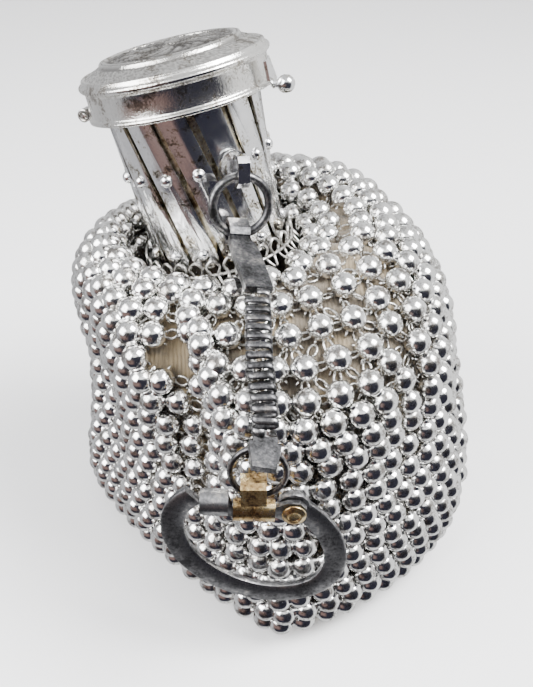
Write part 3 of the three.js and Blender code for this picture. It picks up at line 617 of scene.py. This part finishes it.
bead, prongs, link = bead_form(), prong_forms(), link_form()
quarters = {"front_left": [], "front_right": [], "back_left": [], "back_right": []}
links = []
for row, beads in enumerate(bead_rows):
    below = bead_rows[row + 1] if row + 1 < len(bead_rows) else []
    for k, (azimuth, centre, place, lost) in enumerate(beads):
        if lost:
            continue
        side = "left" if centre.x < 0 else "right"
        end = "front" if centre.y < 0 else "back"
        quarters[f"{end}_{side}"].append(place)
        near = [beads[(k + 1) % len(beads)]]
        near += sorted(below, key=lambda b: (b[1] - centre).length)[:2]
        for other in near:
            gap = other[1] - centre
            if other[3] or gap.length > 1.9 * BEAD_STEP:
                continue
            middle = (centre + other[1]) / 2 - 1.2 * place.col[2].to_3d()
            z = (place.col[2].to_3d() + other[2].col[2].to_3d()).normalized()
            x = (gap - z * gap.dot(z)).normalized()
            turn = Matrix((x, z.cross(x), z)).transposed().to_4x4()
            turn.translation = middle
            links.append(turn @ Matrix.Rotation(rng.uniform(-0.7, 0.7), 4, "X"))

for name, places in quarters.items():
    piece = make_many(f"beads_{name}", *gather([bead, prongs]), places, bead_silver)
    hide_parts("mesh_pouch")
    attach(piece, "purse")
base_beads = make_many("beads_base", *bead, base_places, bead_silver)
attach(base_beads, "purse")
half = len(links) // 2
for name, places in (("upper", links[:half]), ("lower", links[half:])):
    piece = make_many(f"bead_links_{name}", *link, places, link_silver)
    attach(piece, "purse")


# Lining: one sheet of ribbed cloth gathered at the neck, hanging inside the beads.
def lining_sheet():
    """Columns of cloth round the pouch, from a seam at the back to the same seam again."""
    around, down, steps = 180, 64, 8
    top, low, floor_z = 1.1, 9.7, 5.2
    columns = around + 1
    verts, faces = [], []
    for j in range(down + 1):
        t = top + (low - top) * j / down
        depth = BEAD_RISE + 0.9 + 1.4 * min((t - top) / 1.6, 1)
        gathered = max(0, 1 - (t - top) / 3)
        for i in range(columns):
            azimuth = 90 + 360 * i / around
            p, n, _ = pouch_frame(azimuth, t)
            ripple = 0.45 * gathered * math.sin(math.radians(azimuth) * 26)
            sag = 0.35 * math.sin(math.radians(azimuth) * 9 + 2 * t)
            verts.append(p - n * (depth + ripple + sag))
    rim = verts[down * columns:]
    centre = sum(rim, Vector()) / columns
    for s in range(1, steps + 1):
        for p in rim:
            q = centre.lerp(p, 1 - 0.96 * s / steps)
            q.z = floor_z + (p.z - floor_z) * (1 - s / steps) ** 3
            verts.append(q)
    for j in range(down + steps):
        a, b = j * columns, (j + 1) * columns
        faces += [(a + i, b + i, b + i + 1, a + i + 1) for i in range(around)]
    return verts, faces


lining = make("lining_cloth_bag", *lining_sheet(), lining_cloth)
# The cut, from the pouch's own sizes and not from this mesh: a wall as long as the girth inside
# the beads, 65 mm up the sides and 25 mm over the shoulder, narrowing there, and a round base.
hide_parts("lining")
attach(lining, "purse")


# Mouth: a wire ring with omega loops to the mesh and S links down to it.
def mouth_wires():
    centre_below, radius = 38.1, 15.1
    frame_points = []
    for i in range(64):
        a = 2 * math.pi * i / 64
        frame_points.append(GATE_FRAME @ Vector((radius * math.cos(a), radius * math.sin(a), -centre_below)))
    parts = [tube(frame_points, 0.4, 8, closed=True)]
    for i in range(SLATS * 2):
        azimuth = FIRST_AZIMUTH + 6 + i * 180 / SLATS
        low = on_gate(azimuth, 36.4, 0.9)
        a = math.radians(azimuth)
        aside = GATE_FRAME.to_3x3() @ Vector((-math.sin(a), math.cos(a), 0))
        away = GATE_FRAME.to_3x3() @ Vector((math.cos(a), math.sin(a), 0))
        up = GATE_AXIS
        loop = []
        for k in range(17):
            b = math.radians(-60 + 300 * k / 16)
            loop.append(low + aside * 1.35 * math.cos(b) + up * (1.7 * math.sin(b) - 0.4) + away * 1.1)
        outward = away * 1.2 - up * 1.8
        tail = [loop[0] + outward + aside * 0.9, loop[-1] + outward - aside * 0.9]
        parts.append(tube(curve_points([tail[0], *loop[::4], tail[1]], 26), 0.33, 6))
    return gather(parts)


mouth = make("mouth_wires", *mouth_wires(), link_silver)
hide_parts("mouth_ring")
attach(mouth, "purse")


# Lid: pressed and chased, with a relief medallion, stippled slope and rounded edge beads.
LID_RADIUS, LID_SKIRT, LID_CROWN, MEDALLION, RISE = 18.5, 7.1, 2.3, 13.5, 0.7


def relief(r, a):
    """A generic rosette with two rings of leaves, as a height in millimetres."""
    share = r / (MEDALLION - 1.6)
    petals = max(0, math.cos(4 * a)) ** 0.6 * math.exp(-((share - 0.33) / 0.16) ** 2)
    leaves = abs(math.cos(8 * a + 5 * share)) ** 0.7 * math.exp(-((share - 0.68) / 0.14) ** 2)
    rim = (0.5 + 0.5 * math.cos(36 * a)) * math.exp(-((share - 0.93) / 0.045) ** 2)
    boss = math.exp(-((share / 0.12) ** 2))
    scroll = math.sin(22 * a + 16 * share) * math.exp(-((share - 0.52) / 0.25) ** 2)
    veins = math.sin(52 * share) * math.sin(30 * a - 20 * share)
    return 0.42 * (0.8 * petals + 0.7 * leaves + 0.5 * rim + 0.8 * boss + 0.35 * scroll + 0.25 * veins)


def lid_profile():
    """(radius, height, relief share) from the middle of the top, over the edge and inside."""
    top = []
    for i in range(1, 55):
        r = (MEDALLION - 1.4) * i / 54
        top.append((r, LID_CROWN + RISE - 0.35 - 0.35 * (r / MEDALLION) ** 2, 1 if i < 54 else 0))
    borders = [
        (12.15, 2.45), (12.3, 2.75), (12.55, 2.85), (12.8, 2.75), (12.95, 2.4),
        (13.1, 2.4), (13.2, 2.6), (13.4, 2.68), (13.6, 2.5), (13.75, 2.1), (13.9, 1.85),
    ]
    slope = [(13.9 + 2.9 * i / 10, 1.85 - 1.35 * (i / 10) ** 1.1) for i in range(1, 11)]
    beads = []
    for middle_r, middle_z, size, start, end in (
        (17.3, 0.25, 0.42, 150, -10), (17.85, -0.85, 0.62, 70, -70),
    ):
        for i in range(7):
            a = math.radians(start + (end - start) * i / 6)
            beads.append((middle_r + size * math.cos(a), middle_z + size * math.sin(a)))
    skirt = [
        (17.75, -1.75), (17.6, -2.1), (17.6, -5.9), (17.75, -6.25), (18.15, -6.35), (18.25, -6.7),
        (18.2, -7.05), (17.95, -7.1), (16.95, -7.1), (16.9, -6.6), (16.9, -1), (13.4, 0.7),
    ]
    return top, borders, slope, beads, skirt


def lid_form():
    sides = 256
    top, borders, slope, beads, skirt = lid_profile()
    rows = [(r, z, s) for r, z, s in top] + [(r, z, 0) for r, z in borders]
    rows += [(r, z, 2) for r, z in slope] + [(r, z, 0) for r, z in beads + skirt]
    verts, faces, stains = [(0, 0, LID_CROWN + RISE - 0.35 + 0.42)], [], [0.2]
    for r, z, kind in rows:
        for i in range(sides):
            a = 2 * math.pi * i / sides
            grain = float(noise_rng.random())
            lift, stain = 0, 0.08 * grain
            if kind == 1:
                lift = relief(r, a) + 0.1 * grain
                stain = min(max(0.95 - 2.4 * lift + 0.4 * grain, 0.12), 0.95)
            elif kind == 2:
                lift = 0.16 * grain - 0.08
                stain = 0.75 * max(0, 0.75 - grain)
            elif 12 < r < 14:
                stain = 0.55 if z < 2.5 else 0.15
            verts.append((r * math.cos(a), r * math.sin(a), z + lift))
            stains.append(stain)
    for i in range(sides):
        faces.append((0, 1 + i, 1 + (i + 1) % sides))
    for row in range(len(rows) - 1):
        a, b = 1 + row * sides, 1 + (row + 1) * sides
        for i in range(sides):
            j = (i + 1) % sides
            faces.append((a + i, b + i, b + j, a + j))
    end = len(verts)
    verts.append((0, 0, LID_CROWN - 1.4))
    last = 1 + (len(rows) - 1) * sides
    stains.append(0.3)
    for i in range(sides):
        faces.append((last + i, end, last + (i + 1) % sides))
    return verts, faces, stains


HINGE_AZIMUTH, HINGE_OUT, HINGE_BELOW = 160, 19.9, 6.7


def hinge_frame():
    a = math.radians(HINGE_AZIMUTH)
    away = Vector((math.cos(a), math.sin(a), 0))
    around = Vector((-math.sin(a), math.cos(a), 0))
    m = Matrix((around, Vector((0, 0, 1)), away)).transposed().to_4x4()
    m.translation = away * HINGE_OUT + Vector((0, 0, -HINGE_BELOW))
    return m


def knuckle_form(middle):
    """A hollow knuckle round the pin, with a web to the lid's skirt."""
    sides, outer, inner, half_length = 20, 1.3, 0.85, 1.2
    verts, faces = [], []
    for x, radius in ((-1, inner), (-1, outer), (1, outer), (1, inner)):
        for i in range(sides):
            a = 2 * math.pi * i / sides
            verts.append((middle + x * half_length, radius * math.cos(a), radius * math.sin(a)))
    for row in range(4):
        a, b = row * sides, (row + 1) % 4 * sides
        for i in range(sides):
            j = (i + 1) % sides
            faces.append((a + i, a + j, b + j, b + i))
    web = []
    for x in (-half_length, half_length):
        for y, z in ((-0.9, -1.0), (1.2, -1.0), (1.4, -2.6), (-0.7, -2.6)):
            web.append((middle + x, y, z))
    web_faces = [(0, 1, 2, 3), (7, 6, 5, 4), (0, 4, 5, 1), (1, 5, 6, 2), (2, 6, 7, 3), (3, 7, 4, 0)]
    return gather([(verts, faces), (web, web_faces)])


knuckles = gather([knuckle_form(side * 3.55) for side in (-1, 1)])
lid_verts, lid_faces, lid_stains = lid_form()
lid_parts = [moved((lid_verts, lid_faces), GATE_FRAME), moved(knuckles, GATE_FRAME @ hinge_frame())]
lid = make("lid_chased", *gather(lid_parts), lid_silver)
lid_stains += [0.25] * (len(lid.data.vertices) - len(lid_stains))
lid.data.attributes.new("tarnish", "FLOAT", "POINT").data.foreach_set("value", lid_stains)
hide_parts("lid")
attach(lid, "lid")


# Coil chain: one flat strip wound into oblong turns, with a fine bevelled edge.
CHAIN_WIDTH, CHAIN_THICK, CHAIN_PITCH, CHAIN_TURNS = 4.6, 2.5, 1.8, 15
CHAIN_STRIP, CHAIN_STRIP_THICK = 1.2, 0.5
CHAIN_ROUTE = [(274, 2.5, 0.8), (271, 3.1, 0.4), (268.5, 3.8, 0.4), (267, 4.6, 1), (266, 5.2, 2.7)]

def chain_line():
    """Points, normals and lengths down the chain's middle, half its thickness off the beads."""
    points, normals = [], []
    for azimuth, t, rise in CHAIN_ROUTE:
        p, n, _ = pouch_frame(azimuth, t)
        points.append(p + n * (CHAIN_THICK / 2 + 0.35 + rise))
        normals.append(n)
    line, turned = curve_points(points, 160), curve_points(normals, 160)
    length = [0.0]
    for a, b in zip(line, line[1:]):
        length.append(length[-1] + (b - a).length)
    return line, turned, length


def coil_chain():
    line, turned, length = chain_line()
    per_turn = 24
    count = int((CHAIN_TURNS - 1) * per_turn)
    half_width, half_depth = (CHAIN_WIDTH - CHAIN_STRIP_THICK) / 2, (CHAIN_THICK - CHAIN_STRIP_THICK) / 2
    u, v = CHAIN_STRIP / 2, CHAIN_STRIP_THICK / 2
    section = [
        (u, 0.3 * v), (0.75 * u, v), (-0.75 * u, v), (-u, 0.3 * v),
        (-u, -0.5 * v), (-0.8 * u, -v), (0.8 * u, -v), (u, -0.5 * v),
    ]
    verts, faces = [], []
    for i in range(count + 1):
        along = (i / per_turn + 0.5) * CHAIN_PITCH
        at = float(np.interp(along, length, range(len(length))))
        k = min(int(at), len(line) - 2)
        origin = line[k].lerp(line[k + 1], at - k)
        down = (line[k + 1] - line[k]).normalized()
        origin += down * max(0, along - length[-1])
        z = turned[k]
        z = (z - down * z.dot(down)).normalized()
        x = (-down).cross(z)
        b = math.radians(90) - 2 * math.pi * i / per_turn
        c, q = math.cos(b), math.sin(b)
        share_x, share_z = math.copysign(abs(c) ** 0.5, c), math.copysign(abs(q) ** 0.55, q)
        middle = origin + x * half_width * share_x + z * half_depth * share_z
        radial = (x * share_x * half_depth + z * share_z * half_width).normalized()
        for along_strip, out in section:
            verts.append(middle - down * along_strip + radial * out)
        if i:
            s0, s1 = (i - 1) * 8, i * 8
            faces += [(s0 + e, s0 + (e + 1) % 8, s1 + (e + 1) % 8, s1 + e) for e in range(8)]
    faces += [tuple(range(8))[::-1], tuple(range(count * 8, count * 8 + 8))]
    return verts, faces


chain = make("coil_chain_wound", *coil_chain(), dark_silver)
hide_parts("coil_chain")
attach(chain, "purse")

numbers = [f"{i:02d}" for i in range(1, SLATS + 1)]
finished("outer_slats", [f"outer_slat_{n}" for n in numbers], "purse", slat_silver, 0.1)
finished("inner_slats", [f"inner_slat_{n}" for n in numbers], "purse", inner_silver, 0.1)
finished("thumb_knob", ["lid_thumb_knob"], "lid", slat_silver, 0.1)
finished("hinge_leaf", ["lid_hinge_leaf"], "purse", lid_silver, 0.12)
finished("hanger", ["hanger_eye"], "purse", slat_silver, 0.2, levels=1)
finished("chain_end_upper", ["upper_chain_end"], "purse", dark_silver, 0.45, levels=2)
finished("chain_end_lower", ["lower_chain_end"], "purse", dark_silver, 0.4, levels=2)
finished("ring_clasp", ["finger_ring"], "purse", ring_silver, 0.22)
finished("clasp_arm", ["clasp_lever"], "clasp_gate", ring_silver, 0.16)
finished("clasp_barrel", ["clasp_sleeve"], "clasp_gate", brass, 0.3, levels=2)
finished("clasp_eyelet", ["clasp_pivot"], "purse", brass, 0.14)


def round_ring(name, source, wire):
    """A smooth wire ring in the place of a carried one."""
    points = np.array([v.co for v in nodes[source].data.vertices]) / MM
    centre = points.mean(0)
    x, y, _ = np.linalg.svd(points - centre, full_matrices=False)[2]
    radius = float(np.linalg.norm(points - centre, axis=1).mean())
    turns = np.linspace(0, 2 * math.pi, 64, endpoint=False)
    line = [Vector(centre + radius * (math.cos(a) * x + math.sin(a) * y)) for a in turns]
    piece = make(name, *tube(line, wire, 14, closed=True), dark_silver)
    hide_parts(source)
    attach(piece, "purse")


round_ring("suspension_ring_wire", "suspension_ring", 0.85)
round_ring("jump_ring_wire", "lower_jump_ring", 0.5)


# Small domed rivets over the slats' crossings, in the middle and lower rows.
def rivet_domes():
    dome = lathe([(0, 1.0), (0.35, 0.96), (0.7, 0.82), (0.98, 0.55), (1.2, 0.2), (1.25, 0), (0, 0)], 20)
    dome = (dome[0], [f[::-1] for f in dome[1]])
    parts = []
    for i in range(SLATS):
        for below in (MID_RIVET, LOW_RIVET):
            if i == 1 and below == MID_RIVET:
                continue
            azimuth = slat_azimuth(i, 1, below)
            p = on_gate(azimuth, below, SLAT_THICK)
            a = math.radians(azimuth)
            out = GATE_FRAME.to_3x3() @ Vector((math.cos(a), math.sin(a), 0))
            parts.append(moved(dome, place_at(p, out, -GATE_AXIS)))
    return gather(parts)


rivets = make("rivet_domes", *rivet_domes(), slat_silver)
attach(rivets, "purse")


# Stage: floor, soft lights and a plain studio world.
def floor():
    mesh = bpy.data.meshes.new("floor")
    size = 3
    corners = [(-size, -size, 0), (size, -size, 0), (size, size, 0), (-size, size, 0)]
    mesh.from_pydata(corners, [], [(0, 1, 2, 3)])
    made = bpy.data.materials.new("floor")
    made.use_nodes = True
    shader = made.node_tree.nodes["Principled BSDF"]
    shader.inputs["Base Color"].default_value = (0.93, 0.93, 0.94, 1)
    shader.inputs["Roughness"].default_value = 0.9
    shader.inputs["Specular IOR Level"].default_value = 0.1
    mesh.materials.append(made)
    piece = bpy.data.objects.new("floor", mesh)
    piece.visible_glossy = False
    bpy.context.scene.collection.objects.link(piece)


def backdrop():
    """A pale dome behind everything. Only the camera sees it, so it hides no light."""
    radius, around, up = 2.9, 48, 10
    verts = [(0, 0, radius)]
    for j in range(1, up + 1):
        b = math.pi / 2 * j / up
        for i in range(around):
            a = 2 * math.pi * i / around
            flat = radius * math.sin(b)
            verts.append((flat * math.cos(a), flat * math.sin(a), radius * math.cos(b)))
    faces = [(0, 1 + (i + 1) % around, 1 + i) for i in range(around)]
    for j in range(up - 1):
        for i in range(around):
            k, a = (i + 1) % around, 1 + j * around
            faces.append((a + i, a + k, a + around + k, a + around + i))
    mesh = bpy.data.meshes.new("backdrop")
    mesh.from_pydata(verts, [], faces)
    made = bpy.data.materials.new("backdrop")
    made.use_nodes = True
    shader = made.node_tree.nodes["Principled BSDF"]
    shader.inputs["Base Color"].default_value = (0, 0, 0, 1)
    shader.inputs["Emission Color"].default_value = (0.85, 0.85, 0.86, 1)
    shader.inputs["Emission Strength"].default_value = 1
    mesh.materials.append(made)
    piece = bpy.data.objects.new("backdrop", mesh)
    for light_ray in ("glossy", "diffuse", "shadow", "transmission"):
        setattr(piece, f"visible_{light_ray}", False)
    bpy.context.scene.collection.objects.link(piece)


def soft_light(name, place, target, size, power):
    data = bpy.data.lights.new(name, "AREA")
    data.size, data.energy = size, power
    lamp = bpy.data.objects.new(name, data)
    lamp.location = place
    lamp.rotation_mode = "QUATERNION"
    lamp.rotation_quaternion = (Vector(target) - Vector(place)).to_track_quat("-Z", "Y")
    bpy.context.scene.collection.objects.link(lamp)


def studio_world():
    """White studio with a dark camera side, a bright strip over it and a warm patch low left."""
    world = bpy.data.worlds.new("studio")
    bpy.context.scene.world = world
    world.use_nodes = True
    tree = world.node_tree
    background = tree.nodes["Background"]
    where = tree.nodes.new("ShaderNodeTexCoord")
    split = tree.nodes.new("ShaderNodeSeparateXYZ")
    tree.links.new(where.outputs["Generated"], split.inputs[0])
    x, y, z = split.outputs

    def times(a, b):
        node = tree.nodes.new("ShaderNodeMath")
        node.operation = "MULTIPLY"
        tree.links.new(a, node.inputs[0])
        tree.links.new(b, node.inputs[1])
        return node.outputs[0]

    def mix(factor, a, b):
        node = tree.nodes.new("ShaderNodeMix")
        node.data_type = "RGBA"
        tree.links.new(factor, node.inputs["Factor"])
        for socket, value in ((node.inputs[6], a), (node.inputs[7], b)):
            if isinstance(value, tuple):
                socket.default_value = (*value, 1)
            else:
                tree.links.new(value, socket)
        return node.outputs[2]

    toward = spread(tree, y, -0.3, -0.45, 0, 1)
    above_floor = spread(tree, z, -0.86, -0.78, 0, 1)
    under_strip = spread(tree, z, 0.64, 0.60, 0, 1)
    dark = times(times(toward, above_floor), under_strip)
    strip = times(times(toward, spread(tree, z, 0.60, 0.64, 0, 1)), spread(tree, z, 0.84, 0.74, 0, 1))
    low_band = times(spread(tree, z, -0.5, -0.3, 0, 1), spread(tree, z, 0.25, 0.05, 0, 1))
    warm = times(spread(tree, x, 0.05, -0.3, 0, 0.75), low_band)
    sides = mix(spread(tree, x, -0.8, 0.6, 0, 1), (0.6, 0.6, 0.62), (1.25, 1.25, 1.25))
    camera_side = mix(warm, (0.03, 0.03, 0.045), (0.36, 0.23, 0.2))
    colour = mix(dark, sides, camera_side)
    colour = mix(strip, colour, (2.2, 2.2, 2.2))
    tree.links.new(colour, background.inputs["Color"])
    background.inputs["Strength"].default_value = 1.0


floor()
backdrop()
studio_world()
soft_light("key", (0.35, -0.1, 0.55), (0, 0, 0.05), 0.35, 12)
soft_light("fill", (-0.45, -0.25, 0.4), (0, 0, 0.05), 0.5, 9)
